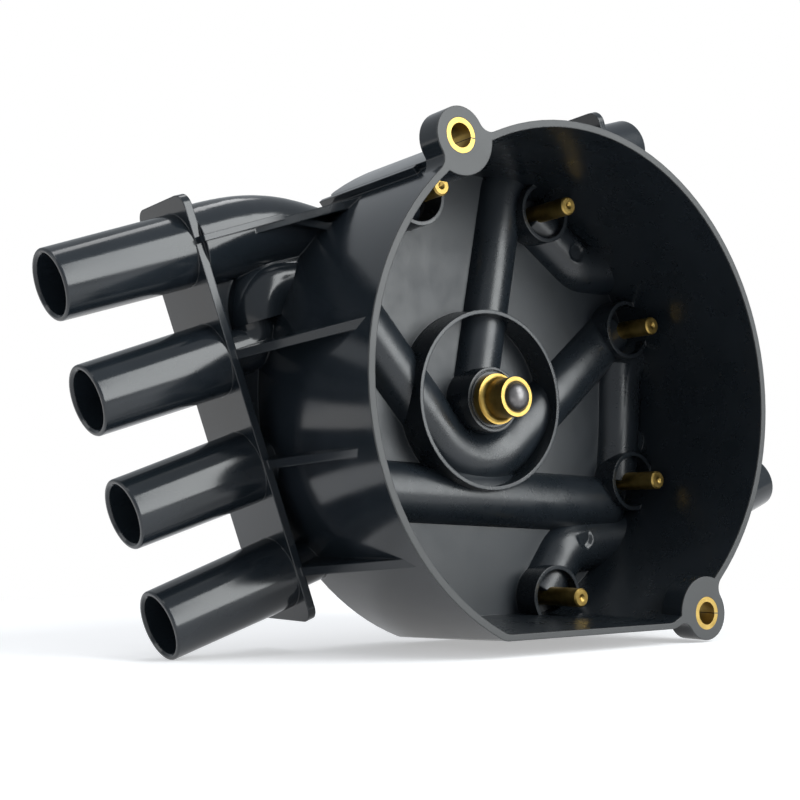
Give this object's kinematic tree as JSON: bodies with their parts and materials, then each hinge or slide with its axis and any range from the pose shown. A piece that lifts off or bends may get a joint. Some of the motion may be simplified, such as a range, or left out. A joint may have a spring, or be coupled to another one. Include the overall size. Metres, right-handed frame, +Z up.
{
  "type": "distributor cap",
  "caption": "Moulded ignition distributor cap with side towers, brass contact pins and a sprung centre contact.",
  "frame": {"origin": "on the cap's axis in the plane of its mouth, midway between the two screw holes", "axes": "+Y runs into the cap along its axis, so the mouth faces -Y; +Z is up with the cap lying on the flat of its wall; +X to the five-tower side"},
  "size_m": [0.2115, 0.0545, 0.1334],
  "materials": {
    "moulding": "semi-gloss moulded, black",
    "bushing_brass": "turned",
    "contact_brass": "turned",
    "strip_brass": "stamped strip",
    "terminal_brass": "turned",
    "carbon": "pressed carbon, worn smooth",
    "spring_steel": "drawn wire"
  },
  "bodies": {
    "cap": {"cap_body": "moulding", "ear_bushing_upper": "bushing_brass", "ear_bushing_lower": "bushing_brass", "terminal_pin_1": "contact_brass", "terminal_pin_2": "contact_brass", "terminal_pin_3": "contact_brass", "terminal_pin_4": "contact_brass", "terminal_pin_5": "contact_brass", "terminal_pin_6": "contact_brass", "terminal_pin_7": "contact_brass", "terminal_pin_8": "contact_brass", "contact_ferrule": "contact_brass", "contact_spring": "spring_steel", "lead_1": "strip_brass", "lead_2": "strip_brass", "lead_3": "strip_brass", "lead_4": "strip_brass", "lead_5": "strip_brass", "lead_6": "strip_brass", "lead_7": "strip_brass", "lead_8": "strip_brass", "coil_lead": "strip_brass", "tower_terminal_left_1": "terminal_brass", "tower_terminal_left_2": "terminal_brass", "tower_terminal_left_3": "terminal_brass", "tower_terminal_left_4": "terminal_brass", "tower_terminal_right_4": "terminal_brass", "tower_terminal_right_3": "terminal_brass", "tower_terminal_right_2": "terminal_brass", "tower_terminal_right_1": "terminal_brass", "tower_terminal_coil": "terminal_brass"},
    "button": {"carbon_button": "carbon"}
  },
  "joints": [
    {"name": "button_slide", "type": "slide", "parent": "cap", "child": "button", "axis": [0, 1, 0], "range_m": [0, 0.002], "stiffness_N_per_m": 400, "springref_m": -0.002, "deforming": ["contact_spring"]}
  ]
}
